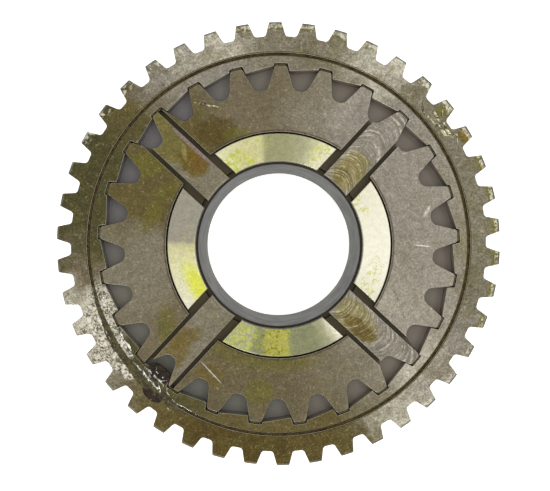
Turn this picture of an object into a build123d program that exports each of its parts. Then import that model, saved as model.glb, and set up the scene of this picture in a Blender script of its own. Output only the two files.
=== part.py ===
from build123d import *
from math import asin, degrees, hypot, pi, radians, sin
import os

# Coupling ring and toothed hub of a planetary gear stage, lying on its rear face.
# The gear axis is Z, the front face is up, and the origin is on the axis at the rear face.
# All lengths are in millimetres and all angles in degrees.

os.makedirs("parts", exist_ok=True)

# Overall
front_z = 46.0
pad_stand = 0.4
plate_thickness = 4.0
rear_play = 0.1

# Outer rim with the external teeth
module_size = 4.0
rim_teeth = 42
rim_phase = 5.3
rim_tip_radius = module_size * (rim_teeth + 2) / 2
rim_root_radius = 82.2
rim_tip_width = 4.8
rim_root_width = 8.0
rim_root_fillet = 1.4
rim_tip_chamfer = 0.9

# Seam between the rim and the notched ring, with a groove at the front
seam_radius = 75.4
groove_width = 1.0
groove_depth = 1.4
seam_chamfer = 0.2
seam_dowel_count = 6
seam_dowel_length = 12.0

# Hub teeth
hub_teeth = 25
hub_phase = 3.1
hub_tip_radius = 70.9
hub_root_radius = 61.2
hub_tip_width = 4.6
hub_root_width = 10.8
hub_root_fillet = 3.0
hub_tip_fillet = 1.0
hub_edge_chamfer = 0.2
tooth_depth = 4.8
guide_radius = 59.5
guide_clearance = 0.5

# Notches of the ring that hold the hub teeth, with lands that slope like a saw
notch_radius = 71.8
land_high_radius = 70.7
land_low_radius = 68.8
notch_clearance = 0.4
notch_fillet = 0.5

# Front face of the hub: four slots with keys, four pockets with pads
station_count = 4
key_phase = 47.2
key_width = 12.4
slot_width = 15.6
inlay_depth = 4.0
key_inner_radius = 33.2
pad_inner_radius = 33.2
pad_outer_radius = 44.2
pad_end_offset = 9.2
pocket_outer_radius = 44.9
inlay_chamfer = 0.25

# Bore, bush and rear thrust ring
bore_radius = 32.5
bush_outer_radius = 34.95
hub_bore_radius = 35.0
bush_play = 0.2
bush_chamfer = 0.4
thrust_thickness = 3.0
thrust_inner_radius = 33.0
thrust_outer_radius = 49.5
oil_groove_width = 3.0
oil_groove_depth = 0.8
plate_inner_radius = 52.0
plate_outer_radius = 81.8

# Fasteners
m4_radius = 2.0
m4_head_radius = 3.5
m3_radius = 1.5
m3_head_radius = 2.75
hex_ratio = 0.7
thread_play = 0.05
hole_play = 0.25
head_sink = 0.2
key_screw_circles = (42.0, 54.0)
pad_screw_circle = 40.0
pad_screw_angle = 14.0
screw_head_z = 20.0
thread_depth = 2.8
screw_reach = 2.4
dowel_radius = 2.0
plate_screw_count = 12
plate_screw_circle = 78.2
plate_screw_length = 15.0
plate_dowel_count = 2
plate_dowel_length = 14.0
rear_hole_depth = 12.5
thrust_screw_circle = 45.2
thrust_screw_angle = 29.5
thrust_screw_length = 12.0

# Heights that follow. Only the thrust pads reach the front height, the steel faces lie a little lower.
face_z = front_z - pad_stand
floor_z = front_z - inlay_depth
notch_floor_z = face_z - tooth_depth
tooth_rear_z = notch_floor_z + rear_play
hub_rear_z = plate_thickness + rear_play
hub_pitch = 360 / hub_teeth
pad_phase = key_phase + 180 / station_count
station_angle = 360 / station_count


def tooth_gap(teeth, root_radius, tip_radius, root_width, tip_width, corner_radius):
    """Outline of the gap between two teeth, centred on the X axis and open outwards."""
    root_gap = 2 * pi * root_radius / teeth - root_width
    tip_gap = 2 * pi * tip_radius / teeth - tip_width
    slope = (tip_gap - root_gap) / 2 / (tip_radius - root_radius)
    mouth_radius = tip_radius + tip_width
    mouth_half = root_gap / 2 + slope * (mouth_radius - root_radius)
    with BuildSketch() as gap:
        with BuildLine():
            Polyline(
                (root_radius, -root_gap / 2),
                (mouth_radius, -mouth_half),
                (mouth_radius, mouth_half),
                (root_radius, root_gap / 2),
                close=True,
            )
        make_face()
        fillet(gap.vertices().group_by(Axis.X)[0], corner_radius)
    return gap.sketch


def notch_corner(tooth, radius, side):
    """Corner of the ring's inner outline beside one hub tooth, a clearance off its flank."""
    taper = (hub_root_width - hub_tip_width) / 2 / (hub_tip_radius - hub_root_radius)
    tooth_half = hub_tip_width / 2 + max(hub_tip_radius - radius, 0) * taper
    offset_angle = degrees(asin((tooth_half + notch_clearance) / radius))
    return Vector(radius, 0).rotate(Axis.Z, hub_phase + tooth * hub_pitch + side * offset_angle)


def dowel(length, bottom_z):
    """Plain dowel pin with chamfered ends."""
    with BuildPart() as pin:
        with BuildSketch(Plane.XY.offset(bottom_z)):
            Circle(dowel_radius)
        extrude(amount=length)
        chamfer(pin.edges().filter_by(GeomType.CIRCLE), dowel_radius / 5)
    return pin.part


def socket_screw(shank_radius, head_radius, tip_z):
    """Socket-head screw with its head below and its tip up."""
    head_top_z = screw_head_z + 2 * shank_radius
    with BuildPart() as screw:
        with BuildSketch(Plane.XY.offset(screw_head_z)):
            Circle(head_radius)
        extrude(amount=2 * shank_radius)
        chamfer(screw.edges().group_by(Axis.Z)[0], head_radius / 8)
        with BuildSketch(Plane.XY.offset(head_top_z)):
            Circle(shank_radius - thread_play)
        extrude(amount=tip_z - head_top_z)
        chamfer(screw.edges().group_by(Axis.Z)[-1], shank_radius / 5)
        with BuildSketch(Plane.XY.offset(screw_head_z)):
            RegularPolygon(hex_ratio * shank_radius, 6, major_radius=False)
        extrude(amount=shank_radius, mode=Mode.SUBTRACT)
    return screw.part


def countersunk_form(shank_radius, head_radius, bottom_z, top_z):
    """Solid of revolution with a 90 degree head cone below and a shank above."""
    with BuildPart() as form:
        with BuildSketch(Plane.XZ):
            with BuildLine():
                Polyline(
                    (0, bottom_z),
                    (head_radius - bottom_z, bottom_z),
                    (shank_radius, head_radius - shank_radius),
                    (shank_radius, top_z),
                    (0, top_z),
                    close=True,
                )
            make_face()
        revolve(axis=Axis.Z)
    return form.part


def countersunk_screw(shank_radius, length):
    """Flat-head screw with its head just below the rear face and its tip up."""
    with BuildPart() as screw:
        add(countersunk_form(shank_radius - thread_play, 2 * shank_radius, head_sink, length))
        chamfer(screw.edges().group_by(Axis.Z)[-1], shank_radius / 5)
        with BuildSketch(Plane.XY.offset(head_sink)):
            RegularPolygon(hex_ratio * shank_radius, 6, major_radius=False)
        extrude(amount=shank_radius, mode=Mode.SUBTRACT)
    return screw.part


# --- Coupling ring: the rim with its external teeth -------------------------------------

rim_gap = tooth_gap(
    rim_teeth, rim_root_radius, rim_tip_radius, rim_root_width, rim_tip_width, rim_root_fillet
)
rim_height = face_z - plate_thickness
rim_base = Plane.XY.offset(plate_thickness)
groove_base = Plane.XY.offset(face_z - groove_depth)
seam_holes = PolarLocations(seam_radius, seam_dowel_count, start_angle=key_phase)
plate_holes = PolarLocations(plate_screw_circle, plate_screw_count, start_angle=rim_phase)
plate_dowel_holes = PolarLocations(
    plate_screw_circle, plate_dowel_count, start_angle=rim_phase + 180 / plate_screw_count
)

with BuildPart() as outer_gear_rim:
    with BuildSketch(rim_base):
        Circle(rim_tip_radius)
    extrude(amount=rim_height)
    chamfer(outer_gear_rim.edges().filter_by(GeomType.CIRCLE), rim_tip_chamfer)
    with BuildSketch(rim_base):
        with PolarLocations(0, rim_teeth, start_angle=rim_phase + 180 / rim_teeth):
            add(rim_gap)
        Circle(seam_radius)
    extrude(amount=rim_height, mode=Mode.SUBTRACT)
    with BuildSketch(groove_base):
        Circle(seam_radius + groove_width / 2)
    extrude(amount=groove_depth, mode=Mode.SUBTRACT)
    front_circles = outer_gear_rim.edges().filter_by(GeomType.CIRCLE).group_by(Axis.Z)[-1]
    chamfer(front_circles.sort_by(SortBy.RADIUS)[0], seam_chamfer)
    with BuildSketch(rim_base):
        with plate_holes:
            Circle(m3_radius)
        with plate_dowel_holes:
            Circle(dowel_radius)
        with seam_holes:
            Circle(dowel_radius)
    extrude(amount=rear_hole_depth, mode=Mode.SUBTRACT)
outer_gear_rim.part.label = "outer_gear_rim"
export_step(outer_gear_rim.part, "parts/outer_gear_rim.step")


# --- Coupling ring: the notched ring pressed into the rim -------------------------------

with BuildSketch() as notch_outline:
    corners = []
    for tooth in range(hub_teeth):
        corners.append(notch_corner(tooth, land_low_radius, -1))
        corners.append(notch_corner(tooth, notch_radius, -1))
        corners.append(notch_corner(tooth, notch_radius, 1))
        corners.append(notch_corner(tooth, land_high_radius, 1))
    with BuildLine():
        Polyline(*corners, close=True)
    make_face()
    deep_corners = notch_outline.vertices().filter_by(lambda v: hypot(v.X, v.Y) > notch_radius - 0.1)
    fillet(deep_corners, notch_fillet)

with BuildPart() as notched_ring:
    with BuildSketch(rim_base):
        Circle(seam_radius)
    extrude(amount=rim_height - groove_depth)
    with BuildSketch(groove_base):
        Circle(seam_radius - groove_width / 2)
    extrude(amount=groove_depth)
    chamfer(notched_ring.edges().group_by(Axis.Z)[-1], seam_chamfer)
    with BuildSketch(rim_base):
        Circle(guide_radius + guide_clearance)
    extrude(amount=rim_height, mode=Mode.SUBTRACT)
    with BuildSketch(Plane.XY.offset(notch_floor_z)):
        add(notch_outline.sketch)
    extrude(amount=tooth_depth, mode=Mode.SUBTRACT)
    with BuildSketch(rim_base):
        with seam_holes:
            Circle(dowel_radius)
    extrude(amount=rear_hole_depth, mode=Mode.SUBTRACT)
notched_ring.part.label = "notched_ring"
export_step(notched_ring.part, "parts/notched_ring.step")


# --- Coupling ring: rear plate, and the dowels and screws of the ring -------------------

with BuildPart() as seam_dowels:
    with seam_holes:
        add(dowel(seam_dowel_length, plate_thickness))
seam_dowels.part.label = "seam_dowels"
export_step(seam_dowels.part, "parts/seam_dowels.step")

with BuildPart() as rear_plate:
    with BuildSketch():
        Circle(plate_outer_radius)
        Circle(plate_inner_radius, mode=Mode.SUBTRACT)
    extrude(amount=plate_thickness)
    chamfer(rear_plate.edges().filter_by(GeomType.CIRCLE), seam_chamfer)
    with BuildSketch():
        with plate_dowel_holes:
            Circle(dowel_radius)
    extrude(amount=plate_thickness, mode=Mode.SUBTRACT)
    with plate_holes:
        add(
            countersunk_form(m3_radius + hole_play, 2 * m3_radius + hole_play, 0, plate_thickness),
            mode=Mode.SUBTRACT,
        )
rear_plate.part.label = "rear_plate"
export_step(rear_plate.part, "parts/rear_plate.step")

with BuildPart() as plate_screws:
    with plate_holes:
        add(countersunk_screw(m3_radius, plate_screw_length))
plate_screws.part.label = "plate_screws"
export_step(plate_screws.part, "parts/plate_screws.step")

with BuildPart() as plate_dowels:
    with plate_dowel_holes:
        add(dowel(plate_dowel_length, head_sink))
plate_dowels.part.label = "plate_dowels"
export_step(plate_dowels.part, "parts/plate_dowels.step")


# --- Toothed hub ------------------------------------------------------------------------

hub_gap = tooth_gap(
    hub_teeth, hub_root_radius, hub_tip_radius, hub_root_width, hub_tip_width, hub_root_fillet
)
with BuildSketch() as hub_outline:
    Circle(hub_tip_radius)
    with PolarLocations(0, hub_teeth, start_angle=hub_phase + hub_pitch / 2):
        add(hub_gap, mode=Mode.SUBTRACT)
    tips = hub_outline.vertices().filter_by(lambda v: hypot(v.X, v.Y) > hub_tip_radius - 0.1)
    fillet(tips, hub_tip_fillet)

floor_plane = Plane.XY.offset(floor_z)
thrust_plane = Plane.XY.offset(thrust_thickness)
head_depth = screw_head_z - thrust_thickness
pad_sides = [pad_phase - pad_screw_angle, pad_phase + pad_screw_angle]
thrust_sides = [pad_phase - thrust_screw_angle, pad_phase + thrust_screw_angle]

with BuildPart() as toothed_hub:
    with BuildSketch(Plane.XY.offset(hub_rear_z)):
        Circle(guide_radius)
    extrude(amount=tooth_rear_z - hub_rear_z)
    with BuildSketch(Plane.XY.offset(tooth_rear_z)):
        add(hub_outline.sketch)
    extrude(amount=face_z - tooth_rear_z)
    chamfer(toothed_hub.faces().sort_by(Axis.Z)[-1].edges(), hub_edge_chamfer)
    with BuildSketch(thrust_plane):
        Circle(thrust_outer_radius)
    extrude(amount=hub_rear_z - thrust_thickness)
    with BuildSketch(floor_plane):
        Circle(pocket_outer_radius)
        with PolarLocations(hub_tip_radius / 2, station_count, start_angle=key_phase):
            Rectangle(2 * hub_tip_radius, slot_width)
    extrude(amount=inlay_depth, mode=Mode.SUBTRACT)
    with BuildSketch(thrust_plane):
        Circle(hub_bore_radius)
    extrude(amount=face_z - thrust_thickness, mode=Mode.SUBTRACT)
    with BuildSketch(thrust_plane):
        for circle in key_screw_circles:
            with PolarLocations(circle, station_count, start_angle=key_phase):
                Circle(m4_head_radius + hole_play)
    extrude(amount=head_depth + 2 * m4_radius, mode=Mode.SUBTRACT)
    with BuildSketch(thrust_plane):
        for start in pad_sides:
            with PolarLocations(pad_screw_circle, station_count, start_angle=start):
                Circle(m3_head_radius + hole_play)
    extrude(amount=head_depth + 2 * m3_radius, mode=Mode.SUBTRACT)
    with BuildSketch(thrust_plane):
        for circle in key_screw_circles:
            with PolarLocations(circle, station_count, start_angle=key_phase):
                Circle(m4_radius + hole_play)
        for start in pad_sides:
            with PolarLocations(pad_screw_circle, station_count, start_angle=start):
                Circle(m3_radius + hole_play)
    extrude(amount=floor_z - thrust_thickness, mode=Mode.SUBTRACT)
    with BuildSketch(thrust_plane):
        for start in thrust_sides:
            with PolarLocations(thrust_screw_circle, station_count, start_angle=start):
                Circle(m3_radius)
    extrude(amount=thrust_screw_length, mode=Mode.SUBTRACT)
toothed_hub.part.label = "toothed_hub"
export_step(toothed_hub.part, "parts/toothed_hub.step")


# --- Inlays of the front face: four radial keys and four thrust pads --------------------

for index in range(station_count):
    key_angle = key_phase + index * station_angle
    with BuildPart() as radial_key:
        with BuildSketch(floor_plane):
            add(hub_outline.sketch)
            with PolarLocations(hub_tip_radius, 1, start_angle=key_angle):
                Rectangle(2 * hub_tip_radius, key_width, mode=Mode.INTERSECT)
            Circle(key_inner_radius, mode=Mode.SUBTRACT)
        extrude(amount=face_z - floor_z)
        long_edges = radial_key.faces().sort_by(Axis.Z)[-1].edges().sort_by(SortBy.LENGTH)[-2:]
        chamfer(long_edges, inlay_chamfer)
        with BuildSketch(floor_plane):
            for circle in key_screw_circles:
                with PolarLocations(circle, 1, start_angle=key_angle):
                    Circle(m4_radius)
        extrude(amount=thread_depth, mode=Mode.SUBTRACT)
    radial_key.part.label = f"radial_key_{index + 1}"
    export_step(radial_key.part, f"parts/radial_key_{index + 1}.step")

for index in range(station_count):
    pad_angle = pad_phase + index * station_angle
    pad_plane = floor_plane.rotated((0, 0, pad_angle))
    corner_reach = pad_end_offset / sin(radians(station_angle / 2))
    with BuildPart() as thrust_pad:
        with BuildSketch(pad_plane):
            Circle(pad_outer_radius)
            Circle(pad_inner_radius, mode=Mode.SUBTRACT)
            with Locations((corner_reach + pad_outer_radius, 0)):
                Rectangle(
                    pad_outer_radius * 2**0.5,
                    pad_outer_radius * 2**0.5,
                    rotation=station_angle / 2,
                    mode=Mode.INTERSECT,
                )
        extrude(amount=inlay_depth)
        chamfer(thrust_pad.faces().sort_by(Axis.Z)[-1].edges(), inlay_chamfer)
        with BuildSketch(pad_plane):
            for side in (-1, 1):
                with PolarLocations(pad_screw_circle, 1, start_angle=side * pad_screw_angle):
                    Circle(m3_radius)
        extrude(amount=thread_depth, mode=Mode.SUBTRACT)
    thrust_pad.part.label = f"thrust_pad_{index + 1}"
    export_step(thrust_pad.part, f"parts/thrust_pad_{index + 1}.step")

with BuildPart() as key_screws:
    for circle in key_screw_circles:
        with PolarLocations(circle, station_count, start_angle=key_phase):
            add(socket_screw(m4_radius, m4_head_radius, floor_z + screw_reach))
key_screws.part.label = "key_screws"
export_step(key_screws.part, "parts/key_screws.step")

with BuildPart() as pad_screws:
    for start in pad_sides:
        with PolarLocations(pad_screw_circle, station_count, start_angle=start):
            add(socket_screw(m3_radius, m3_head_radius, floor_z + screw_reach))
pad_screws.part.label = "pad_screws"
export_step(pad_screws.part, "parts/pad_screws.step")


# --- Rear thrust ring and its screws ----------------------------------------------------

with BuildPart() as rear_thrust_ring:
    with BuildSketch():
        Circle(thrust_outer_radius)
        Circle(thrust_inner_radius, mode=Mode.SUBTRACT)
    extrude(amount=thrust_thickness)
    chamfer(rear_thrust_ring.edges().group_by(Axis.Z)[0], seam_chamfer)
    with BuildSketch():
        with PolarLocations(thrust_outer_radius, 2 * station_count, start_angle=key_phase):
            Rectangle(2 * thrust_outer_radius, oil_groove_width)
    extrude(amount=oil_groove_depth, mode=Mode.SUBTRACT)
    for start in thrust_sides:
        with PolarLocations(thrust_screw_circle, station_count, start_angle=start):
            add(
                countersunk_form(m3_radius + hole_play, 2 * m3_radius + hole_play, 0, thrust_thickness),
                mode=Mode.SUBTRACT,
            )
rear_thrust_ring.part.label = "rear_thrust_ring"
export_step(rear_thrust_ring.part, "parts/rear_thrust_ring.step")

with BuildPart() as thrust_ring_screws:
    for start in thrust_sides:
        with PolarLocations(thrust_screw_circle, station_count, start_angle=start):
            add(countersunk_screw(m3_radius, thrust_screw_length))
thrust_ring_screws.part.label = "thrust_ring_screws"
export_step(thrust_ring_screws.part, "parts/thrust_ring_screws.step")


# --- Bore bush --------------------------------------------------------------------------

bush_bottom_z = thrust_thickness + bush_play
bush_height = floor_z - bush_play - bush_bottom_z
with BuildPart() as bore_bush:
    with BuildSketch(Plane.XY.offset(bush_bottom_z)):
        Circle(bush_outer_radius)
        Circle(bore_radius, mode=Mode.SUBTRACT)
    extrude(amount=bush_height)
    chamfer(bore_bush.edges().filter_by(GeomType.CIRCLE), bush_chamfer)
    with BuildSketch(Plane.XY.offset(bush_bottom_z + (bush_height - oil_groove_width) / 2)):
        Circle(bush_outer_radius)
        Circle(bush_outer_radius - oil_groove_depth, mode=Mode.SUBTRACT)
    extrude(amount=oil_groove_width, mode=Mode.SUBTRACT)
bore_bush.part.label = "bore_bush"
export_step(bore_bush.part, "parts/bore_bush.step")
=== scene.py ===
import math

import bmesh
import bpy
from mathutils import Matrix, Vector, noise


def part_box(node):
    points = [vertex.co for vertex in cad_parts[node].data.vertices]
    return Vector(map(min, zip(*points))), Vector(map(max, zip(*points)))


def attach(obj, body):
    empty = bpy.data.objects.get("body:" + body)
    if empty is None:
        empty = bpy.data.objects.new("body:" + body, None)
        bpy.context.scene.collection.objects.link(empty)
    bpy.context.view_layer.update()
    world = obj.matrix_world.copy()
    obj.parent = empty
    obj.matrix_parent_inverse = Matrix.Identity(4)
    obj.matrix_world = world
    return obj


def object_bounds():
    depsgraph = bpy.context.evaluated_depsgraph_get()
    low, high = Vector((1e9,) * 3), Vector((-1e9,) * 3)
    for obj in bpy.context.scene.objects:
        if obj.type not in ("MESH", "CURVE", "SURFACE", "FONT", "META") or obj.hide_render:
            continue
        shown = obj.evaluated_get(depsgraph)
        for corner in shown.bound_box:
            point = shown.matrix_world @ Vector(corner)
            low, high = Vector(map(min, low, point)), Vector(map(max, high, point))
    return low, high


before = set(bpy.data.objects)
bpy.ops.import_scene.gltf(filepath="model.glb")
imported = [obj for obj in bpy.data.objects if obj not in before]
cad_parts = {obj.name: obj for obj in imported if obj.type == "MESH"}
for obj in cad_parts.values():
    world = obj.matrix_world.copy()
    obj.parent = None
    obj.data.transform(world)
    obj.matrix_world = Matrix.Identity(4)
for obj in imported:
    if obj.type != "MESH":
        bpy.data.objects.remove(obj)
cad_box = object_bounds()

# The gear axis is Z and the front face is up. Lengths are in metres, as in the frame, and
# in millimetres wherever a name or a comment says mm: the materials count in mm.
MM = 0.001

# The highest corner of a ring's box gives its front face and its outer radius.
rim_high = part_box("outer_gear_rim")[1]
face_mm = rim_high.z / MM
tip_mm = rim_high.x / MM
seam_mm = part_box("notched_ring")[1].x / MM
pad_face_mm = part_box("thrust_pad_1")[1].z / MM
bush_top_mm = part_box("bore_bush")[1].z / MM

# The hub's teeth are evenly spaced, and the middle of one is at hub_tooth_turn degrees.
hub_teeth = 25
hub_tooth_turn = 3.1

# How much brighter than its own colour a surface looks in this studio.
studio_gain = 1.2


def paint(red, green, blue):
    """Linear colour that looks like this screen colour, from 0 to 255, under the studio light.
    The curve is that of sRGB."""
    linear = []
    for channel in (red, green, blue):
        share = channel / 255
        value = share / 12.92 if share < 0.04045 else ((share + 0.055) / 1.055) ** 2.4
        linear.append(value / studio_gain)
    return (*linear, 1.0)


class Look:
    """One procedural material, built by short calls that add shader nodes and join them.
    Its coordinates are the object's own, in mm. A mask is a number from 0 to 1."""

    def __init__(self, name, metallic, specular=0.5, coat=0.0, coat_roughness=0.15):
        self.material = bpy.data.materials.new(name)
        self.material.use_nodes = True
        self.tree = self.material.node_tree
        self.shader = self.tree.nodes["Principled BSDF"]
        self.shader.inputs["Metallic"].default_value = metallic
        self.shader.inputs["Specular IOR Level"].default_value = specular
        self.shader.inputs["Coat Weight"].default_value = coat
        self.shader.inputs["Coat Roughness"].default_value = coat_roughness
        source = self.node("ShaderNodeTexCoord")
        self.place = self.vector("SCALE", source.outputs["Object"], scale=1 / MM)
        self.x, self.y, self.z = self.node("ShaderNodeSeparateXYZ", {0: self.place}).outputs
        self.upward = self.node("ShaderNodeSeparateXYZ", {0: source.outputs["Normal"]}).outputs[2]
        self.flat = self.node("ShaderNodeCombineXYZ", {0: self.x, 1: self.y}).outputs[0]
        self.radius = self.vector("LENGTH", self.flat)
        self.bevel = None

    def node(self, kind, inputs=None, **settings):
        """A new node. inputs are values for its sockets, or sockets to join to them."""
        made = self.tree.nodes.new(kind)
        for key, value in settings.items():
            setattr(made, key, value)
        for key, value in (inputs or {}).items():
            if isinstance(value, bpy.types.NodeSocket):
                self.tree.links.new(value, made.inputs[key])
            elif value is not None:
                made.inputs[key].default_value = value
        return made

    def math(self, operation, first, second=None, third=None):
        inputs = {0: first, 1: second, 2: third}
        return self.node("ShaderNodeMath", inputs, operation=operation).outputs[0]

    def vector(self, operation, first, second=None, scale=None):
        inputs = {0: first, 1: second, 3: scale}
        made = self.node("ShaderNodeVectorMath", inputs, operation=operation)
        return made.outputs["Value" if operation in ("LENGTH", "DOT_PRODUCT") else "Vector"]

    def smooth(self, value, low, high, to_low=0.0, to_high=1.0):
        """Soft step: to_low where value is at low, to_high where it is at high."""
        inputs = {0: value, 1: low, 2: high, 3: to_low, 4: to_high}
        return self.node("ShaderNodeMapRange", inputs, interpolation_type="SMOOTHSTEP").outputs[0]

    def grain(self, size_mm, detail, roughness, distortion=0.0, place=None, stretch=None):
        """Noise from 0 to 1 with features of about size_mm, stretched by a factor each in x, y and z."""
        place = place or self.place
        if stretch:
            place = self.vector("DIVIDE", place, stretch)
        inputs = {"Vector": place, "Scale": 1 / size_mm, "Detail": detail}
        inputs.update({"Roughness": roughness, "Distortion": distortion})
        return self.node("ShaderNodeTexNoise", inputs).outputs[0]

    def drift(self, size_mm, reach, detail=4, roughness=0.6):
        """Noise from -reach to reach, which makes a border or a line wander."""
        noise_value = self.grain(size_mm, detail, roughness)
        return self.math("MULTIPLY_ADD", noise_value, reach * 2, -reach)

    def lathe(self, spacing_mm, along=0.2):
        """Turning marks about spacing_mm apart, from 0 to 1: rings on a face, lines round a wall.
        along is how fast they change along the gear axis."""
        inputs = {0: self.radius, 2: self.both(self.z, along)}
        place = self.node("ShaderNodeCombineXYZ", inputs).outputs[0]
        return self.grain(spacing_mm, 2, 0.7, place=place)

    def mix(self, share, first, second):
        """The first colour where share is 0, the second where it is 1."""
        inputs = {0: share, 6: first, 7: second}
        return self.node("ShaderNodeMix", inputs, data_type="RGBA").outputs[2]

    def both(self, first, second):
        """Two masks at once, or a mask made weaker by a factor."""
        return self.math("MULTIPLY", first, second)

    def between(self, share, at_zero, at_one):
        return self.node("ShaderNodeMapRange", {0: share, 3: at_zero, 4: at_one}).outputs[0]

    def tint(self, colour, factor):
        """The colour, lighter or darker by a factor."""
        return self.vector("SCALE", colour, scale=factor)

    def depth(self, none_mm, full_mm, top_mm=face_mm):
        """Mask that is 0 at the depth none_mm below the front face, or below top_mm, and 1 at full_mm."""
        return self.smooth(self.z, top_mm - none_mm, top_mm - full_mm)

    def around(self, tones, wander=14.0):
        """Colours round the gear axis, from (degrees, colour) stops. Their borders wander by up to
        wander degrees."""
        turn = self.math("DIVIDE", self.math("ARCTAN2", self.y, self.x), 2 * math.pi)
        drift = self.drift(14, wander / 360)
        turn = self.math("FRACT", self.math("ADD", self.math("ADD", turn, 1.0), drift))
        made = self.node("ShaderNodeValToRGB", {0: turn})
        ramp = made.color_ramp
        ramp.elements[0].color = ramp.elements[1].color = tones[0][1]
        for degrees_round, colour in tones[1:]:
            ramp.elements.new(degrees_round / 360).color = colour
        return made.outputs[0]

    def turned(self, degrees_round):
        """How far a place is along a direction from the gear axis, and how far across it, in mm."""
        inputs = {"Vector": self.flat, "Rotation": (0, 0, math.radians(degrees_round))}
        place = self.node("ShaderNodeMapping", inputs, vector_type="TEXTURE").outputs[0]
        along, across, _ = self.node("ShaderNodeSeparateXYZ", {0: place}).outputs
        return along, across

    def mill_arcs(self, turn):
        """Arcs that an end mill leaves along a slot at an angle of turn degrees, from 0 to 1."""
        cutter_radius_squared = 46.0
        along, across = self.turned(turn)
        inside = self.math("SUBTRACT", cutter_radius_squared, self.math("POWER", across, 2.0))
        sag = self.math("SQRT", self.math("MAXIMUM", inside, 0.0))
        wander = self.drift(7, 1.2, detail=2, roughness=0.5)
        line = self.math("ADD", self.math("SUBTRACT", along, sag), wander)
        place = self.node("ShaderNodeCombineXYZ", {0: line, 1: self.both(across, 0.05)}).outputs[0]
        return self.grain(1.1, 2, 0.6, place=place)

    def patch(self, x, y, length, width, turn=0.0, soft=0.2, ragged=0.6):
        """Mask of one patch with a ragged edge: an ellipse at x, y (mm), with half axes length and
        width (mm), the long one turned by turn degrees."""
        right_through_mm = 1e5
        inputs = {"Vector": self.place, "Location": (x, y, 0), "Rotation": (0, 0, math.radians(turn))}
        inputs["Scale"] = (length, width, right_through_mm)
        local = self.node("ShaderNodeMapping", inputs, vector_type="TEXTURE").outputs[0]
        reach = self.math("ADD", self.vector("LENGTH", local), self.drift(3.5, ragged))
        return self.smooth(reach, 1 + soft, 1 - soft)

    def sector(self, middle, half, soft=8.0):
        """Mask of one sector round the gear axis, with a ragged edge: its middle, half its width and
        its soft edge, in degrees."""
        along, across = self.turned(middle)
        angle = self.math("ABSOLUTE", self.math("ARCTAN2", across, along))
        reach = self.math("ADD", angle, self.drift(6, 0.12))
        return self.smooth(reach, math.radians(half + soft), math.radians(half - soft))

    def edges(self, radius_mm):
        """Mask of the edges, for a painted highlight. It also rounds the normal that the bump starts from."""
        inputs = {"Radius": radius_mm * MM}
        self.bevel = self.node("ShaderNodeBevel", inputs, samples=6).outputs[0]
        plain = self.node("ShaderNodeNewGeometry").outputs["Normal"]
        # The cosine between the two normals is 1 on a flat face and falls towards an edge.
        cosine = self.vector("DOT_PRODUCT", self.bevel, plain)
        return self.smooth(cosine, 0.995, 0.85)

    def cut_wall(self):
        """Machined wall: dark, with lighter worn streaks along the gear axis."""
        streak = self.grain(1.6, 3, 0.6, stretch=(1, 1, 9))
        worn = self.smooth(self.grain(7, 4, 0.6), 0.42, 0.62)
        colour = self.mix(self.smooth(streak, 0.35, 0.65), dark_brown, warm)
        return self.mix(self.both(worn, 0.55), colour, taupe)

    def bump(self, height, depth_mm, strength):
        inputs = {"Height": height, "Distance": depth_mm * MM, "Strength": strength}
        inputs["Normal"] = self.bevel
        return self.node("ShaderNodeBump", inputs).outputs[0]

    def finish(self, colour, roughness, normal):
        for name, value in (("Base Color", colour), ("Roughness", roughness), ("Normal", normal)):
            self.tree.links.new(value, self.shader.inputs[name])
        return self.material


# Width of the painted edge highlights on the gear steel and the bronze.
edge_mm = 0.45


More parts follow.
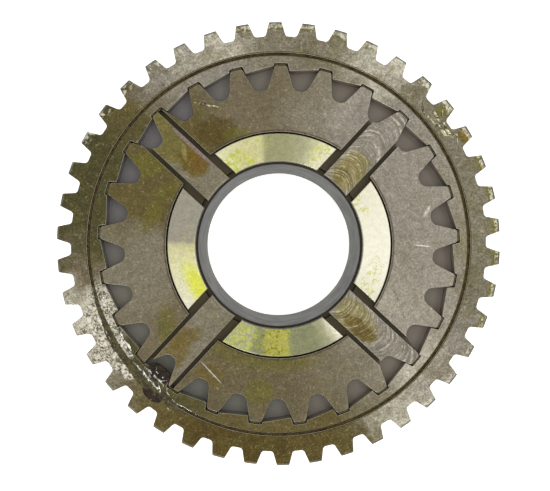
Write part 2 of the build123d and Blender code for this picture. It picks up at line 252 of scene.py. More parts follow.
def steel(
    name, tones, stains=(), oil=0.0, walls=None, mill_turn=None, wet=None, flecks=None, tracks=0.0,
    speckle=0.26, last=(),
):
    """Satin gear steel with a mottled grain, lathe tracks, painted edge highlights and glints, and oil
    stains.

    tones: colours round the gear axis, as (degrees, colour), with any painted sheen in them
    stains: list of (mask function, colour, strength), and last: the same, over the painted edge highlights
    oil, tracks, speckle: strength of the oily haze, of the lathe tracks and of the grain
    walls: function that gives the colour below the front face
    mill_turn: direction of the milled arcs, in degrees, if there are any
    wet, flecks: mask functions for wrinkled wet oil, with painted reflections in it, and for flecks of
    painted glint"""
    metallic = 0.7
    look = Look(name, metallic)
    edge = look.edges(edge_mm)
    cloudy = look.grain(6, 5, 0.62, 0.4)
    blotchy = look.grain(2.4, 4, 0.7)
    fine = look.grain(0.75, 3, 0.65)

    # Colours round the axis with their painted sheen, the oily haze, and the stains, with painted sheen and
    # glints among them.
    colour = look.around(tones)
    haze = look.smooth(look.grain(9, 6, 0.62, 1.0), 0.5, 0.58)
    colour = look.mix(look.both(haze, oil), colour, oil_colour)
    for make, stain_colour, strength in stains:
        colour = look.mix(look.both(make(look), strength), colour, stain_colour)

    # Grain and lathe tracks, lighter and darker.
    shade = look.smooth(fine, 0.3, 0.7, 1 - speckle, 1 + speckle)
    shade = look.both(shade, look.smooth(blotchy, 0.3, 0.7, 1 - speckle / 2, 1 + speckle / 2))
    shade = look.both(shade, look.smooth(cloudy, 0.3, 0.7, 0.9, 1.1))
    trace = look.both(look.smooth(cloudy, 0.4, 0.6), tracks)
    shade = look.math("MULTIPLY_ADD", look.math("SUBTRACT", look.lathe(0.9), 0.5), trace, shade)
    colour = look.tint(colour, shade)
    height = look.math("MULTIPLY_ADD", blotchy, 1.2, fine)
    roughness = look.smooth(cloudy, 0.3, 0.7, 0.34, 0.46)

    # Painted glints as bright flecks, milled arcs with painted glints, and wet oil with painted reflections.
    # top is the mask of the front face.
    top = look.both(look.smooth(look.upward, 0.6, 0.95), look.depth(0.6, 0.3))
    bright = look.both(look.smooth(look.both(fine, blotchy), 0.32, 0.42), 0.25)
    if flecks is not None:
        bright = look.math("MAXIMUM", bright, look.both(flecks(look), look.smooth(blotchy, 0.5, 0.58)))
    colour = look.mix(look.both(bright, 0.8), colour, glint_colour)
    if mill_turn is not None:
        mill = look.mill_arcs(mill_turn)
        height = look.math("MULTIPLY_ADD", mill, 2.4, height)
        # Painted glints on the milled arcs; the arcs are also darker and lighter.
        glint = look.both(look.smooth(mill, 0.52, 0.66), look.smooth(blotchy, 0.42, 0.6))
        colour = look.tint(colour, look.smooth(mill, 0.34, 0.6, 0.68, 1.1))
        colour = look.mix(look.both(glint, 0.8), colour, glint_colour)
    # Wet oil: its light foil is a painted reflection, with darker ripples between.
    if wet is not None:
        mask = look.both(wet(look), top)
        ripple = look.grain(1.0, 4, 0.65, 1.2)
        foil_glint = look.both(mask, look.smooth(ripple, 0.48, 0.53))
        dark_wet = look.both(mask, look.smooth(ripple, 0.46, 0.4))
        colour = look.mix(look.both(dark_wet, 0.75), colour, wet_dark)
        colour = look.mix(look.both(foil_glint, 0.85), colour, wet_glint_light)
        roughness = look.between(mask, roughness, 0.22)
        height = look.math("ADD", height, look.both(mask, look.both(ripple, 3.0)))
    normal = look.bump(height, 0.03, 0.8)

    # The walls below the face, darker, then the painted edge highlights and the stains and painted shade over
    # them.
    below = look.depth(0.35, 0.9)
    wall_colour = look.cut_wall() if walls is None else walls(look)
    colour = look.mix(look.both(below, 0.94), colour, wall_colour)
    # Painted highlight along the edges of the front face.
    colour = look.mix(look.both(edge, look.both(top, 0.8)), colour, edge_highlight_colour)
    for make, stain_colour, strength in last:
        colour = look.mix(look.both(make(look), strength), colour, stain_colour)
    roughness = look.between(look.both(below, 0.8), roughness, 0.6)
    if walls is not None:
        look.tree.links.new(look.between(below, metallic, 0.0), look.shader.inputs["Metallic"])
    return look.finish(colour, roughness, normal)


def bronze(name, tones, stains=(), mottle=0.1, top_mm=None):
    """Ground bearing bronze, bright, with a painted edge highlight, specks and oil stains. tones and stains
    are as for steel, and mottle is the strength of the specks. If top_mm is given, the walls below it are
    dark."""
    look = Look(name, metallic=0.8)
    edge = look.edges(edge_mm)
    cloudy = look.grain(2.2, 4, 0.7)
    fine = look.grain(0.9, 3, 0.65)
    colour = look.around(tones, wander=4)
    for make, stain_colour, strength in stains:
        colour = look.mix(look.both(make(look), strength), colour, stain_colour)
    colour = look.tint(colour, look.smooth(cloudy, 0.3, 0.7, 1 - mottle, 1 + mottle))
    colour = look.tint(colour, look.smooth(fine, 0.3, 0.7, 1 - mottle, 1 + mottle))
    if top_mm is not None:
        colour = look.mix(look.depth(0.35, 0.8, top_mm), colour, dark_brown)
    # Painted highlight along the edges.
    colour = look.mix(look.both(edge, 0.8), colour, cream_edge_highlight)
    height = look.math("MULTIPLY_ADD", look.lathe(0.4), 0.5, look.both(cloudy, 0.8))
    roughness = look.smooth(cloudy, 0.3, 0.7, 0.24, 0.4)
    return look.finish(colour, roughness, look.bump(height, 0.012, 0.7))


def smooth_steel(
    name, light, dark, rough_low=0.3, rough_high=0.45, grime=None, lined=0.2, line_mm=0.008,
    metallic=0.7,
):
    """Ground or turned steel: even, with a faint haze and fine turning lines, line_mm deep and as
    strong in colour as lined. grime is (mask function, colour)."""
    look = Look(name, metallic=metallic)
    look.edges(0.2)
    haze = look.grain(8, 3, 0.6)
    lines = look.lathe(0.35, along=1.0)
    colour = look.mix(look.smooth(haze, 0.3, 0.7), light, dark)
    colour = look.mix(look.smooth(lines, 0.5, 0.75, 0, lined), colour, dark)
    if grime is not None:
        make, grime_colour = grime
        colour = look.mix(make(look), colour, grime_colour)
    roughness = look.smooth(haze, 0.3, 0.7, rough_low, rough_high)
    return look.finish(colour, roughness, look.bump(lines, line_mm, 0.6))


# --- Masks ------------------------------------------------------------------------------
# A mask function takes a look and gives a mask. below_face is one, and the others here make one.

def patch(*place, **shape):
    return lambda look: look.patch(*place, **shape)


def sector(*place, **shape):
    return lambda look: look.sector(*place, **shape)


def band(inner, outer, soft=0.5):
    """Between two radii (mm)."""
    return lambda look: look.both(
        look.smooth(look.radius, inner - soft, inner + soft),
        look.smooth(look.radius, outer + soft, outer - soft),
    )


def below_face(look):
    return look.depth(0.15, 0.4)


def crossed(first, second):
    """Where both masks are."""
    return lambda look: look.both(first(look), second(look))


def speckled(make, level):
    """A mask broken up into small specks, fewer of them for a higher level."""
    return lambda look: look.both(
        make(look),
        look.smooth(look.grain(1.3, 4, 0.7), level, level + 0.08),
    )


def assign(node, material):
    """Give a CAD node one material all over."""
    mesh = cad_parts[node].data
    mesh.materials.clear()
    mesh.materials.append(material)
    for polygon in mesh.polygons:
        polygon.material_index = 0


# --- Colours ----------------------------------------------------------------------------

# The silver and pale colours are painted sheen: the bright bow-ties of light on the turned faces.
sheen_silver = paint(192, 186, 166)
pale_sheen = paint(163, 155, 139)
taupe = paint(147, 140, 126)
drab = paint(132, 124, 103)
brown_grey = paint(117, 106, 82)
olive_brown = paint(100, 88, 48)
dark_olive = paint(77, 73, 38)
umber = paint(86, 71, 24)
sage = paint(119, 113, 93)
warm = paint(107, 96, 68)
sand = paint(148, 136, 84)
ochre = paint(110, 91, 26)
olive = paint(108, 102, 36)
ochre_olive = paint(112, 102, 34)
rust = paint(120, 86, 20)
violet_sheen = paint(150, 130, 136)
oil_colour = paint(102, 93, 44)
# Painted glints.
glint_colour = paint(226, 221, 200)
# Painted highlight for the edges.
edge_highlight_colour = paint(228, 223, 206)
dark_brown = paint(58, 50, 28)
# Painted shade on the outer chamfers of the rim's tips.
tip_chamfer_shade = paint(66, 62, 36)
warm_dark_brown = paint(84, 70, 48)
slot_dark_brown = paint(84, 71, 36)
groove_brown = paint(74, 60, 24)
# A flat painted grey for the gaps behind the hub's teeth, standing for the shade there.
gap_shade_grey = paint(134, 128, 116)
gap_shade_brown = paint(136, 126, 113)
gap_shade_violet = paint(126, 121, 122)
gap_shade_green = paint(122, 122, 112)
seam_light = paint(86, 72, 32)
seam_dark = paint(52, 43, 16)
# Light of the wet oil: a painted reflection.
wet_glint_light = paint(226, 220, 200)
wet_dark = paint(66, 60, 36)
# Bright cream of the pads' painted sheen.
cream_sheen = paint(236, 231, 206)
# Painted highlight for the bronze edges, and the near-white painted reflection on a pad.
cream_edge_highlight = paint(248, 244, 222)
straw = paint(214, 208, 158)
vivid = paint(228, 231, 66)
lime = paint(196, 204, 60)
bright_straw = paint(228, 224, 178)
grey_straw = paint(176, 174, 138)
yellow_olive = paint(180, 172, 92)
moss = paint(160, 158, 116)
grey_green = paint(140, 142, 106)
grey_cream = paint(160, 155, 138)


# --- Materials of the CAD nodes ---------------------------------------------------------

# An olive-brown band along the groove at the seam, over the groove and the faces beside it.
groove_half_mm = 0.95
groove_band = (band(seam_mm - groove_half_mm, seam_mm + groove_half_mm, 0.15), groove_brown, 1.0)

# Colours round the axis: oil and wear colours with painted sheen. The silver and pale stops are painted
# bow-tie highlights of the turned faces, and the hub is painted lighter on its right, where the light falls.
rim_tones_and_sheen = [
    (0, sage), (30, sage), (50, drab), (61, sheen_silver), (76, drab), (95, drab), (108, sheen_silver), (122, taupe),
    (137, olive_brown), (152, dark_olive), (174, dark_olive), (187, brown_grey), (197, sheen_silver), (212, drab),
    (230, olive_brown), (246, umber), (270, umber), (295, olive_brown), (303, sheen_silver), (318, pale_sheen),
    (334, taupe), (345, sage),
]
ring_tones_and_sheen = [
    (0, drab), (30, taupe), (50, taupe), (60, sheen_silver), (74, drab), (92, drab), (107, taupe), (122, taupe),
    (137, olive_brown), (150, dark_olive), (181, dark_olive), (190, brown_grey), (196, sheen_silver),
    (203, drab), (210, dark_olive), (234, dark_olive), (250, olive_brown), (291, olive_brown), (303, drab),
    (317, sheen_silver), (332, pale_sheen), (346, taupe),
]
# Walls and floor of the gaps behind the hub's teeth: one flat painted grey that stands for the shade in the
# gaps and hides the walls' own shade.
gap_shade_tones = [
    (0, gap_shade_brown), (80, gap_shade_brown), (100, gap_shade_grey), (118, gap_shade_violet), (165, gap_shade_violet), (200, gap_shade_grey),
    (225, gap_shade_green), (262, gap_shade_green), (290, gap_shade_brown),
]
hub_tones_and_sheen = [
    (0, taupe), (30, taupe), (62, taupe), (78, drab), (92, brown_grey), (110, brown_grey), (125, olive_brown),
    (150, olive_brown), (168, olive_brown), (180, drab), (198, drab), (214, brown_grey), (240, warm),
    (272, warm), (288, brown_grey), (304, drab), (330, pale_sheen),
]

# The masks of the rim's teeth end past_tips_mm outside, well clear of the metal.
past_tips_mm = tip_mm + 5
tips = band(tip_mm - 3.2, past_tips_mm)
assign("outer_gear_rim", steel(
    "rim_steel", rim_tones_and_sheen,
    stains=[
        (crossed(tips, sector(85, 24)), olive, 0.6),
        (crossed(tips, sector(10, 36)), olive, 0.75),
        (crossed(tips, sector(160, 30)), dark_olive, 0.7),
        (patch(74, 44, 4, 3, 30), ochre, 0.9),
        (patch(64, 53, 3, 2, 40), olive, 0.8),
        # Painted glints specked along the tips.
        (speckled(crossed(band(tip_mm - 2.2, tip_mm - 0.9, 0.3), sector(20, 80)), 0.46), glint_colour, 0.6),
        groove_band,
    ],
    oil=0.35, tracks=0.5, speckle=0.36,
    wet=sector(206, 11.5, soft=4),
    # Painted glints near the tips on the upper side.
    flecks=crossed(tips, sector(95, 60)),
    # The outer chamfers of the tips on the upper and right side are painted dark as shade, over the edge
    # highlights.
    last=[(crossed(band(tip_mm - 0.75, past_tips_mm, 0.2), sector(30, 115)), tip_chamfer_shade, 0.85)],
))
assign("notched_ring", steel(
    "ring_steel", ring_tones_and_sheen, stains=[groove_band], oil=0.3, tracks=0.4, speckle=0.3,
    wet=sector(200.5, 8, soft=4),
    # The gap walls and floor take the flat painted shade grey.
    walls=lambda look: look.around(gap_shade_tones),
))

# The recess in the hub's face that the keys and the pads sit in.
recess_mm = 44.9
pocket = crossed(band(30, recess_mm + 0.05, 0.1), below_face)
assign("toothed_hub", steel(
    "hub_steel", hub_tones_and_sheen,
    stains=[
        (patch(-25, 45.5, 8, 5, 10), umber, 0.8),
        (patch(-20, 40, 6, 5, 0), umber, 0.5),
        (patch(-16, 43, 6, 3.5, 0), olive, 0.6),
        (patch(-52, 32, 13, 5, 15), olive, 0.7),
        (patch(-50, 12, 7, 3, 60), olive, 0.6),
        (patch(-42, 22, 8, 3, 10), olive, 0.5),
        (patch(-44, -34, 4, 11, 10), olive, 0.65),
        (crossed(sector(258, 30, soft=8), band(44, 50, 3)), olive, 0.6),
        (patch(-8, -58, 6, 5, 0), olive, 0.6),
        (patch(-28, -52, 6, 5, 0), ochre, 0.5),
        # A lighter patch at the upper right: painted sheen.
        (patch(26, 56, 12, 4, 60), pale_sheen, 0.5),
        # Two bright scratch lines and a fleck: real marks, with painted glint on them.
        (patch(56.8, -0.1, 3.3, 0.25, -6, ragged=0.3), glint_colour, 0.8),
        (patch(58.5, 13.5, 2.2, 0.7, 60, ragged=0.8), glint_colour, 0.5),
        (patch(-27.0, -50.5, 6, 0.25, 313, ragged=0.3), edge_highlight_colour, 0.6),
        (band(recess_mm, recess_mm + 0.8, 0.25), warm_dark_brown, 0.8),
        (pocket, dark_brown, 0.95),
    ],
    oil=0.12,
    walls=lambda look: slot_dark_brown,
))

key_looks = {
    1: dict(tones=[(0, taupe)], mill_turn=47.2, stains=[
        (patch(28, 29, 9, 6, 47), sand, 0.9),
        (patch(24, 28, 4, 2, 47), ochre, 0.5),
    ]),
    2: dict(tones=[(0, drab)], oil=0.2, stains=[
        (patch(-44, 42, 14, 7, 137, ragged=0.3), ochre_olive, 0.8),
        (patch(-33.5, 33.5, 7, 5.5, 125, ragged=0.4), ochre, 0.85),
        (patch(-33, 33, 4.5, 3, 125, ragged=0.6), rust, 0.45),
        (patch(-37.4, 36.6, 3.5, 1, 100, ragged=0.5), sand, 0.7),
        (patch(-34.5, 39.3, 11, 0.8, 137.2, ragged=0.3), violet_sheen, 0.6),
    ]),
    3: dict(tones=[(0, drab)], oil=0.2, stains=[
        (patch(-39, -36, 8, 4, 190, ragged=0.5), ochre, 0.7),
        (patch(-45, -47, 11, 5, 227), ochre, 0.7),
    ]),
    4: dict(tones=[(0, taupe)], mill_turn=317.2, stains=[
        (patch(30, -29, 11, 6, 317), sand, 0.8),
        (patch(32, -33, 8, 3, 317), ochre, 0.8),
    ]),
}
for index, key_look in key_looks.items():
    assign(f"radial_key_{index}", steel(f"key_steel_{index}", **key_look))

# The pads' tones are painted sheen: bands of cream and of darker straw, moss and grey green across each pad
# stand for reflected light.
pad_looks_with_sheen = {
    1: dict(tones=[
        (0, cream_sheen), (62, cream_sheen), (68, bright_straw), (76, grey_straw), (86, moss), (98, moss),
        (101, straw), (110, straw), (120, bright_straw), (130, cream_sheen),
    ], stains=[
        (speckled(patch(-17, 33, 8, 4, 20), 0.46), lime, 0.8),
        (speckled(patch(17, 36, 6, 4, 0), 0.5), lime, 0.7),
        (speckled(patch(-9, 41, 6, 3, 0), 0.5), lime, 0.4),
    ]),
    2: dict(tones=[
        (0, grey_cream), (150, grey_cream), (166, grey_cream), (177, pale_sheen), (180, straw),
        (192, bright_straw), (215, cream_sheen),
    ], stains=[
        (patch(-32.0, -16, 9.5, 3.6, 118, soft=0.6, ragged=0.12), vivid, 0.9),
        (speckled(patch(-35, 2, 5, 3, 90), 0.5), lime, 0.4),
    ]),
    3: dict(mottle=0.14, tones=[
        (0, cream_sheen), (232, cream_sheen), (238, grey_straw), (252, grey_straw), (255, grey_green),
        (260, grey_green), (262, yellow_olive), (275, yellow_olive), (277, grey_green),
        (290, grey_green), (298, grey_straw), (303, cream_sheen),
    ], stains=[
        (speckled(patch(-14, -36, 9, 6, 0), 0.48), lime, 0.7),
        (speckled(patch(-1, -38, 6, 7, 0), 0.47), lime, 0.6),
        (speckled(patch(-3, -38, 7, 7, 0), 0.52), olive, 0.8),
    ]),
    4: dict(mottle=0.04, tones=[
        (0, cream_edge_highlight), (38, cream_sheen), (324, bright_straw), (332, cream_sheen), (345, cream_edge_highlight),
    ], stains=[
        (speckled(patch(31, 17, 6, 2.5, 130), 0.5), lime, 0.7),
        (speckled(patch(36, -13, 9, 4, 70), 0.52), lime, 0.7),
    ]),
}
for index, pad_look_with_sheen in pad_looks_with_sheen.items():
    assign(f"thrust_pad_{index}", bronze(f"pad_bronze_{index}", top_mm=pad_face_mm, **pad_look_with_sheen))
assign("rear_thrust_ring", bronze("ring_bronze", [(0, straw), (120, grey_straw), (240, straw)]))
assign("bore_bush", smooth_steel(
    "bush_steel", paint(104, 103, 98), paint(94, 93, 88), rough_low=0.5, rough_high=0.6, lined=0.05,
    line_mm=0.0005, metallic=0.4,
    grime=(lambda look: look.depth(0.7, 0.3, bush_top_mm), dark_brown),
))
assign("rear_plate", smooth_steel("plate_steel", drab, brown_grey))
black_oxide = smooth_steel("fastener_black", paint(70, 70, 72), paint(48, 48, 50))
for name in ("plate_screws", "key_screws", "pad_screws", "thrust_ring_screws"):
    assign(name, black_oxide)
pin_steel = smooth_steel("pin_steel", paint(160, 160, 158), paint(135, 134, 130))
for name in ("plate_dowels", "seam_dowels"):
    assign(name, pin_steel)


# --- Grease and drips, thin closed meshes on the front face -----------------------------

def polar(degrees_round, radius_mm, height_mm):
    """A place in metres, from an angle round the gear axis, a radius and a height."""
    angle = math.radians(degrees_round)
    return Vector((radius_mm * math.cos(angle), radius_mm * math.sin(angle), height_mm)) * MM


def waver(place_mm, size_mm, seed):
    """Smooth noise from -1 to 1 at a place."""
    return noise.noise(place_mm / size_mm + Vector((seed * 7.3, seed * 3.1, seed * 1.7)))


def new_piece(name, points, faces, material, body):
    """A smooth grease piece with outward normals, which rides on the body."""
    mesh = bpy.data.meshes.new(name)
    mesh.from_pydata(points, [], faces)
    builder = bmesh.new()
    builder.from_mesh(mesh)
    bmesh.ops.recalc_face_normals(builder, faces=builder.faces)
    builder.to_mesh(mesh)
    builder.free()
    for polygon in mesh.polygons:
        polygon.use_smooth = True
    mesh.materials.append(material)
    piece = bpy.data.objects.new(name, mesh)
    bpy.context.scene.collection.objects.link(piece)
    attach(piece, body)


def strand(stops, seed, wobble, base):
    """Points and faces of a rounded strand through stops of (degrees, radius, half width, rise), in
    mm, on a flat underside at height base. It stays below the pads' face, the top of the CAD box.
    wobble is how far its line wanders, in mm."""
    steps = 14
    ring_points = 9
    room = pad_face_mm - 0.02 - base
    points, faces = [], []
    for first, second in zip(stops, stops[1:]):
        for step in range(steps + (second is stops[-1])):
            share = step / steps
            ease = share * share * (3 - 2 * share)
            shares = (share, ease, ease, ease)
            turn, radius, half, rise = (a + (b - a) * s for a, b, s in zip(first, second, shares))
            spot = polar(turn, radius, 0) / MM
            radius += wobble * waver(spot, 2.0, seed)
            half *= 1 + 0.5 * waver(spot, 1.4, seed + 1)
            rise = min(rise * (1 + 0.4 * waver(spot, 1.1, seed + 2)), room)
            for index in range(ring_points):
                lean = math.pi * index / (ring_points - 1)
                points.append(polar(turn, radius + half * math.cos(lean), base + rise * math.sin(lean)))
    rows = len(points) // ring_points
    for row in range(rows - 1):
        for index in range(ring_points):
            low = row * ring_points
            high = low + ring_points
            side = (index + 1) % ring_points
            faces.append((low + index, low + side, high + side, high + index))
    faces.append(tuple(range(ring_points)))
    faces.append(tuple(range((rows - 1) * ring_points, rows * ring_points)))
    return points, faces


def bead(
    name, stops, material, seed, wobble, body="coupling_ring", base_mm=face_mm - 0.05, turns=(0,),
):
    """Strand of grease through its stops, uneven as if wiped on, once at each of the turns, in
    degrees. Its flat underside is at base_mm, just inside the front face if nothing else is said."""
    points, faces = [], []
    for turn in turns:
        turned = [(stop[0] + turn, *stop[1:]) for stop in stops]
        more_points, more_faces = strand(turned, seed, wobble, base_mm)
        faces += [tuple(len(points) + index for index in face) for face in more_faces]
        points += more_points
    new_piece(name, points, faces, material, body)


def film(
    name, radii, turns, rise, material, seed, cover, cell_mm=0.4, rounded=False, depth_mm=0.1,
):
    """Patchy wrinkled film between two radii and two angles, or a rounded drop that just fits between
    them. It thins out to nothing at its borders and reaches depth_mm below the front face. A higher
    cover leaves fewer bare spots, and cell_mm is the size of its cells."""
    rows = int((radii[1] - radii[0]) / cell_mm) + 1
    columns = int(math.radians(turns[1] - turns[0]) * radii[1] / cell_mm) + 1
    tops, bottoms = [], []
    for row in range(rows + 1):
        for column in range(columns + 1):
            out = 2 * row / rows - 1
            side = 2 * column / columns - 1
            border = min(row, rows - row, column * 0.5, (columns - column) * 0.5) / 4
            if rounded:
                # The square from -1 to 1 becomes a disc.
                out, side = out * math.sqrt(1 - side**2 / 2), side * math.sqrt(1 - out**2 / 2)
                border = 1.6 * math.sqrt(max(0.0, 1 - math.hypot(out, side)))
            radius = (radii[0] + radii[1] + (radii[1] - radii[0]) * out) / 2
            turn = (turns[0] + turns[1] + (turns[1] - turns[0]) * side) / 2
            spot = polar(turn, radius, 0) / MM
            patchy = waver(spot, 3.5, seed) + 0.5 * waver(spot, 1.6, seed + 1) + cover
            crease = 1 - abs(waver(spot, 1.3, seed + 2)) * 2
            swell = max(0.0, min(1.0, 3 * patchy)) * min(1.0, border)
            tops.append(polar(turn, radius, face_mm - 0.03 + rise * swell * (0.45 + 0.55 * crease)))
            bottoms.append(polar(turn, radius, face_mm - depth_mm))
    count = len(tops)
    width = columns + 1
    faces = []
    for row in range(rows):
        for column in range(columns):
            corner = row * width + column
            quad = (corner, corner + 1, corner + width + 1, corner + width)
            faces.append(quad)
            faces.append(tuple(count + index for index in reversed(quad)))
    outline = list(range(columns)) + [row * width + columns for row in range(rows)]
    outline += [rows * width + column for column in range(columns, 0, -1)]
    outline += [row * width for row in range(rows, 0, -1)]
    for first, second in zip(outline, outline[1:] + outline[:1]):
        faces.append((first, second, count + second, count + first))
    new_piece(name, tops + bottoms, faces, material, "coupling_ring")


def grease(name, light, dark, metallic, rough, coat=0.6, specular=0.5):
    """Grease with dark streaks in it, wet and glossy unless coat and specular are low."""
    look = Look(name, metallic=metallic, specular=specular, coat=coat, coat_roughness=0.06)
    look.edges(0.1)
    streaks = look.grain(1.6, 4, 0.65, 0.8)
    colour = look.mix(look.smooth(streaks, 0.4, 0.6), dark, light)
    fine = look.grain(0.7, 2, 0.6)
    roughness = look.smooth(fine, 0.3, 0.7, rough, rough + 0.12)
    return look.finish(colour, roughness, look.bump(streaks, 0.06, 0.7))


# The light tones of the silver, glint and clear greases are painted: silver sheen, white glints and cream
# highlights.
silver_sheen_grease = grease("silver_sheen_grease", paint(236, 230, 212), paint(96, 88, 60), 0.8, 0.14)
glint_grease = grease("glint_grease", paint(250, 248, 240), paint(84, 78, 56), 0.9, 0.1)
olive_grease = grease("olive_grease", paint(88, 80, 32), paint(42, 34, 10), 0.3, 0.12, coat=0.3, specular=0.3)
brown_grease = grease("brown_grease", paint(58, 38, 22), paint(20, 13, 8), 0.0, 0.08, coat=0.1, specular=0.15)
# Its cream streaks are painted highlights.
clear_grease = grease("clear_grease", paint(204, 196, 156), paint(64, 54, 22), 0.8, 0.1)
seam_fill = grease("seam_fill", seam_light, seam_dark, 0.0, 0.5, coat=0.0, specular=0.1)
# Painted shade for the gaps at the hub's tooth tips.
tip_gap_shade = grease("tip_gap_shade", warm, warm_dark_brown, 0.0, 0.5, coat=0.0, specular=0.1)

# An olive-brown fill all round the groove at the seam.
bead(
    "seam_fill_bead", [(turn, seam_mm, 0.5, 0.16) for turn in range(0, 361, 10)],
    seam_fill, seed=7, wobble=0.06, base_mm=face_mm - 0.42,
)

# A dark strip in the gap outside the tip of each hub tooth: painted shade, a shallow dark fill of the shaded
# clearance.
tip_gap_mm = 71.3
half_tip_degrees = 1.75
bead("tip_gap_shade_strip", [
    (hub_tooth_turn - half_tip_degrees, tip_gap_mm, 0.3, 0.2),
    (hub_tooth_turn + half_tip_degrees, tip_gap_mm, 0.3, 0.2),
], tip_gap_shade, seed=9, wobble=0, base_mm=face_mm - 0.55,
    turns=[360 / hub_teeth * tooth for tooth in range(hub_teeth)])

# Lower left: the wet film with painted silver sheen, and dark beads and a bead painted white for its glints
# along the groove.
film("grease_film_rim", (76.6, 81.9), (197, 224), 0.36, silver_sheen_grease, seed=3, cover=0.1)
film("grease_film_ring", (72.2, 74.7), (193, 226), 0.32, silver_sheen_grease, seed=5, cover=0.1, cell_mm=0.3)
bead("grease_groove_1", [
    (192, 75.4, 0.4, 0.1), (198, 75.4, 0.8, 0.25), (206, 75.4, 1.0, 0.3), (213, 75.5, 1.2, 0.35),
    (221, 75.3, 1.3, 0.35), (229, 75.4, 1.5, 0.38), (238, 75.4, 0.4, 0.15),
], olive_grease, seed=11, wobble=0.3)
bead("grease_groove_2", [
    (215, 74.2, 0.15, 0.1), (219, 74.0, 0.35, 0.38), (223, 73.6, 0.5, 0.38),
    (228, 74.4, 0.55, 0.38), (236, 75.2, 0.2, 0.1),
], glint_grease, seed=13, wobble=0.5)
bead("grease_groove_3", [
    (204, 76.8, 0.2, 0.1), (210, 77.1, 0.5, 0.3), (216, 76.7, 0.6, 0.3), (224, 77.4, 0.7, 0.35),
    (232, 76.9, 0.6, 0.35), (241, 77.0, 0.2, 0.1),
], olive_grease, seed=17, wobble=0.4)

# Oil on the inner edges of the notched ring's lands, painted white for its glints, from one angle to another.
land_spans = ((194.0, 197.0), (198.5, 201.5), (207.5, 211.0), (211.5, 215.5), (222.0, 225.5), (225.0, 230.5))
for index, (start, stop) in enumerate(land_spans):
    bead(f"grease_edge_glint_{index + 1}", [
        (start, 71.9, 0.25, 0.2), ((start + stop) / 2, 71.7, 0.6, 0.38), (stop, 72.0, 0.25, 0.2),
    ], glint_grease, seed=51 + index, wobble=0.35)

# The dark blob and drip, with white beads of painted glint on them.
film("grease_blob", (75.6, 80.2), (226.2, 232.8), 0.4, brown_grease, seed=23, cover=1.6,
     cell_mm=0.25, rounded=True)
film("grease_drip", (66.6, 72.9), (222.6, 231.0), 0.39, brown_grease, seed=29, cover=1.8,
     cell_mm=0.25, rounded=True, depth_mm=1.0)
on_drip_mm = face_mm + 0.08
bead("grease_glint_1", [
    (223.9, 69.6, 0.1, 0.1), (225.2, 71.0, 0.3, 0.28), (227.2, 71.6, 0.35, 0.28), (229.0, 71.2, 0.35, 0.28),
    (230.2, 69.8, 0.1, 0.1),
], glint_grease, seed=71, wobble=0.2, base_mm=on_drip_mm)
bead("grease_glint_2", [
    (224.6, 68.6, 0.08, 0.1), (225.6, 69.8, 0.25, 0.28), (226.6, 69.9, 0.2, 0.2), (226.9, 68.9, 0.08, 0.1),
], glint_grease, seed=73, wobble=0.3, base_mm=on_drip_mm)
bead("grease_glint_3", [
    (227.9, 68.4, 0.06, 0.1), (228.6, 69.9, 0.28, 0.28), (229.2, 68.6, 0.08, 0.1),
], glint_grease, seed=75, wobble=0.3, base_mm=on_drip_mm)
bead("grease_glint_4", [
    (234.0, 74.3, 0.08, 0.1), (237.0, 74.8, 0.22, 0.2), (240.0, 74.6, 0.16, 0.15), (245.0, 74.9, 0.05, 0.05),
], glint_grease, seed=77, wobble=0.25)

# Threads of oil that lead outwards over the ring and the rim, painted white for their glints, from one angle
# to another.
thread_spans = ((222.0, 224.5), (224.0, 227.5), (226.5, 229.0), (228.0, 232.5), (231.0, 236.0))
for index, (start, stop) in enumerate(thread_spans):
    bead(f"grease_glint_thread_{index + 1}", [
        (start, 71.9, 0.2, 0.2), ((start + stop) / 2, 74.0, 0.4, 0.4), (stop, 77.0 + index * 0.4, 0.2, 0.2),
    ], glint_grease, seed=31 + index, wobble=0.6)

# Upper right: wavy strands on the rim, with painted highlights in their clear grease.
bead("grease_ridge_1", [
    (45.9, 80.2, 0.3, 0.2), (43.0, 77.6, 0.6, 0.38), (39.7, 77.9, 0.65, 0.38), (36.8, 78.7, 0.65, 0.38),
    (33.9, 78.8, 0.65, 0.38), (31.7, 81.0, 0.4, 0.2),
], clear_grease, seed=41, wobble=0.5)
bead("grease_ridge_2", [
    (41.6, 83.2, 0.5, 0.35), (40.7, 80.9, 0.65, 0.38), (38.3, 80.4, 0.65, 0.38), (36.1, 80.7, 0.65, 0.38),
    (33.6, 80.6, 0.6, 0.35), (31.6, 83.0, 0.5, 0.3), (29.6, 81.0, 0.25, 0.2),
], clear_grease, seed=43, wobble=0.5)
bead("grease_ridge_3", [
    (40.2, 85.6, 0.3, 0.3), (39.4, 83.4, 0.5, 0.35), (38.4, 82.4, 0.3, 0.3),
], clear_grease, seed=44, wobble=0.4)

# Two streaks on the hub.
bead("grease_track", [
    (-20.7, 48.5, 0.12, 0.1), (-23.0, 50.6, 0.25, 0.2), (-25.8, 52.8, 0.3, 0.22), (-28.6, 56.0, 0.2, 0.16),
    (-31.0, 59.0, 0.1, 0.1),
], clear_grease, seed=61, wobble=0.7, body="hub")
bead("grease_streak", [
    (121.0, 65.4, 0.2, 0.15), (118.5, 63.2, 0.45, 0.3), (115.8, 61.2, 0.4, 0.25), (113.4, 59.4, 0.2, 0.1),
], clear_grease, seed=47, wobble=0.2, body="hub")


# --- Floor, light and camera ------------------------------------------------------------

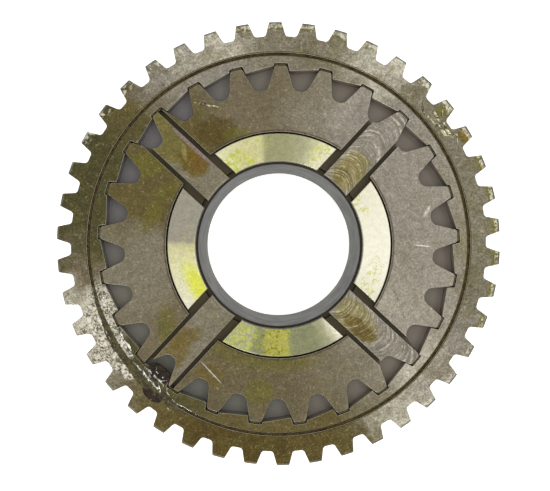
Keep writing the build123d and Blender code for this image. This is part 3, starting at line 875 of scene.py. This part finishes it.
floor_half = 3.0
floor_gap = 0.0002
floor_mesh = bpy.data.meshes.new("floor")
corners = [(-floor_half, -floor_half, 0), (floor_half, -floor_half, 0)]
corners += [(floor_half, floor_half, 0), (-floor_half, floor_half, 0)]
floor_mesh.from_pydata(corners, [], [(0, 1, 2, 3)])
floor_piece = bpy.data.objects.new("floor", floor_mesh)
bpy.context.scene.collection.objects.link(floor_piece)
floor_piece.location.z = cad_box[0].z - floor_gap
floor_material = bpy.data.materials.new("pale_floor")
floor_material.use_nodes = True
floor_shader = floor_material.node_tree.nodes["Principled BSDF"]
floor_shader.inputs["Base Color"].default_value = (0.93, 0.93, 0.93, 1)
floor_shader.inputs["Roughness"].default_value = 0.9
floor_shader.inputs["Emission Color"].default_value = (1, 1, 1, 1)
floor_shader.inputs["Emission Strength"].default_value = 0.7
floor_mesh.materials.append(floor_material)


def studio_sky(horizon, zenith):
    """Plain white light from all round, of one strength at the horizon and another overhead."""
    world = bpy.data.worlds.new("studio")
    world.use_nodes = True
    nodes, links = world.node_tree.nodes, world.node_tree.links
    direction = nodes.new("ShaderNodeTexCoord").outputs["Generated"]
    parts = nodes.new("ShaderNodeSeparateXYZ")
    links.new(direction, parts.inputs[0])
    strength = nodes.new("ShaderNodeMapRange")
    strength.interpolation_type = "SMOOTHSTEP"
    links.new(parts.outputs[2], strength.inputs[0])
    # The light changes between these heights, 0 at the horizon and 1 overhead.
    for socket, value in ((1, 0.1), (2, 0.9), (3, horizon), (4, zenith)):
        strength.inputs[socket].default_value = value
    links.new(strength.outputs[0], nodes["Background"].inputs["Strength"])
    nodes["Background"].inputs["Color"].default_value = (1, 1, 1, 1)
    bpy.context.scene.world = world


studio_sky(horizon=0.35, zenith=1.15)


def softbox(name, place, target, size, watts):
    """Square area light at place that points at target."""
    data = bpy.data.lights.new(name, "AREA")
    data.size = size
    data.energy = watts
    lamp = bpy.data.objects.new(name, data)
    lamp.location = place
    lamp.rotation_euler = (Vector(target) - Vector(place)).to_track_quat("-Z", "Y").to_euler()
    bpy.context.scene.collection.objects.link(lamp)


front_centre = (0, 0, rim_high.z)
softbox("key", place=(0.55, 0.1, 0.9), target=front_centre, size=0.2, watts=0.8)
softbox("fill", place=(-0.3, -0.9, 0.5), target=front_centre, size=0.25, watts=2)

# The camera looks down the gear axis from a little beside it, as in the photo. Its two small tilts
# are in radians, and its shift puts the part where the photo has it.
camera_place = (-0.0024, 0.0030, 0.3056)
camera_tilt = 0.024
camera_sway = 0.012
camera_data = bpy.data.cameras.new("camera")
camera_data.lens = 43.0
camera_data.sensor_width = 36
camera_data.shift_x = -0.0111
camera_data.shift_y = 0.0148
camera = bpy.data.objects.new("camera", camera_data)
turned = Matrix.Rotation(-camera_tilt, 4, "X") @ Matrix.Rotation(-camera_sway, 4, "Y")
camera.matrix_world = Matrix.Translation(camera_place) @ turned
bpy.context.scene.collection.objects.link(camera)
bpy.context.scene.camera = camera
bpy.context.scene.view_settings.view_transform = "Standard"
